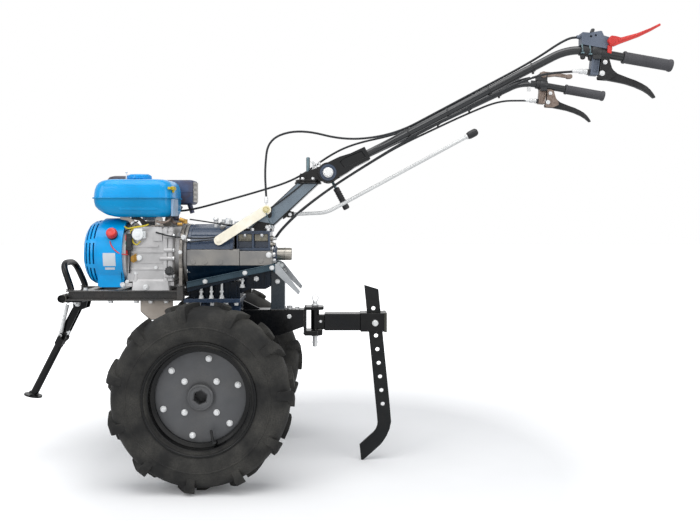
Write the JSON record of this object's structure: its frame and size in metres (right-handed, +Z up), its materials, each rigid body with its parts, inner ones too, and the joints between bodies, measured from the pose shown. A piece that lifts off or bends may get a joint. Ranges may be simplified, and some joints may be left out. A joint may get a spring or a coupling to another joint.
{
  "type": "walking tractor",
  "caption": "Two-wheeled walking tractor with petrol engine, adjustable handlebar, front stand and rear hitch carrying a depth coulter.",
  "frame": {"origin": "middle of the footprint's bounding box, on the floor", "axes": "+X towards the machine's front (engine end), +Y to the machine's left, +Z up"},
  "size_m": [2.0484, 0.694, 1.388],
  "materials": {
    "tyre_rubber": "matt, dusty",
    "black_paint": "gloss",
    "wheel_black": "satin",
    "blue_paint": "gloss",
    "gearbox_paint": "gloss dark blue-grey over cast aluminium",
    "cast_aluminium": "as cast, satin",
    "zinc": "zinc plated",
    "steel": "machined",
    "cream_paint": "satin",
    "red_plastic": "gloss",
    "grip_rubber": "matt",
    "grey_metal": "satin",
    "black_plastic": "matt",
    "exhaust_black": "heat-darkened, stands in for a hollow sheet-steel silencer",
    "cable_black": "satin"
  },
  "bodies": {
    "chassis": {"air_filter": "black_plastic", "bell_flange": "gearbox_paint", "brake_cable_left": "cable_black", "brake_cable_right": "cable_black", "clutch_arm": "cream_paint", "clutch_cable": "cable_black", "crankcase": "cast_aluminium", "cylinder_block": "cast_aluminium", "fan_shroud": "blue_paint", "final_drive_case": "gearbox_paint", "frame_rail_left": "black_paint", "frame_rail_right": "black_paint", "front_cross_tube": "black_paint", "front_hoop": "black_paint", "fuel_cap": "blue_paint", "fuel_tank": "blue_paint", "gearbox_case": "gearbox_paint", "gearbox_sump": "gearbox_paint", "guard_plate": "black_paint", "hitch_beam": "black_paint", "hitch_clevis": "black_paint", "hitch_pin": "zinc", "mast": "black_paint", "muffler": "exhaust_black", "pto_shaft": "steel", "selector_block": "gearbox_paint", "shift_knob": "black_plastic", "shift_rod": "zinc", "side_bar_left": "zinc", "side_bar_right": "zinc", "stand_bracket": "black_paint", "stand_spring": "zinc", "stop_switch": "red_plastic", "tank_brackets": "grey_metal", "throttle_cable": "cable_black"},
    "wheel_left": {"tyre_left": "tyre_rubber", "rim_left": "wheel_black", "hub_left": "black_paint"},
    "wheel_right": {"tyre_right": "tyre_rubber", "rim_right": "wheel_black", "hub_right": "black_paint"},
    "stand": {"stand_leg": "black_paint"},
    "swivel_head": {"swivel_head": "black_paint"},
    "handlebar": {"handlebar_socket": "black_paint", "tilt_lock_lever": "black_plastic", "handlebar_left": "black_paint", "handlebar_right": "black_paint", "grip_left": "grip_rubber", "grip_right": "grip_rubber", "lever_bracket_left": "grey_metal", "lever_bracket_right": "grey_metal", "hand_lever_left": "black_plastic", "hand_lever_right": "black_plastic", "control_housing": "grey_metal", "clutch_lever": "red_plastic", "throttle_lever": "grey_metal"},
    "hitch_arm": {"hitch_arm": "black_paint", "coulter": "black_paint", "coulter_bolt": "zinc"}
  },
  "joints": [
    {"name": "wheel_left_spin", "type": "hinge", "parent": "chassis", "child": "wheel_left", "pos_m": [0.38151, 0.28, 0.28], "axis": [0, 1, 0], "continuous": true},
    {"name": "wheel_right_spin", "type": "hinge", "parent": "chassis", "child": "wheel_right", "pos_m": [0.38151, -0.28, 0.28], "axis": [0, 1, 0], "continuous": true},
    {"name": "stand_swing", "type": "hinge", "parent": "chassis", "child": "stand", "pos_m": [0.83751, 0, 0.524], "axis": [0, 1, 0], "range_deg": [0, 100], "deforming": ["stand_spring"]},
    {"name": "handlebar_yaw", "type": "hinge", "parent": "chassis", "child": "swivel_head", "pos_m": [0.07201, 0, 0.925], "axis": [0, 0, 1], "range_deg": [-10, 10], "deforming": ["clutch_cable", "throttle_cable", "brake_cable_left", "brake_cable_right"]},
    {"name": "handlebar_tilt", "type": "hinge", "parent": "swivel_head", "child": "handlebar", "pos_m": [0.00451, 0, 0.961], "axis": [0, 1, 0], "range_deg": [-8, 12], "deforming": ["clutch_cable", "throttle_cable", "brake_cable_left", "brake_cable_right"]},
    {"name": "hitch_swivel", "type": "hinge", "parent": "chassis", "child": "hitch_arm", "pos_m": [0.04851, 0, 0.464], "axis": [0, 0, 1], "range_deg": [-15, 15]}
  ]
}
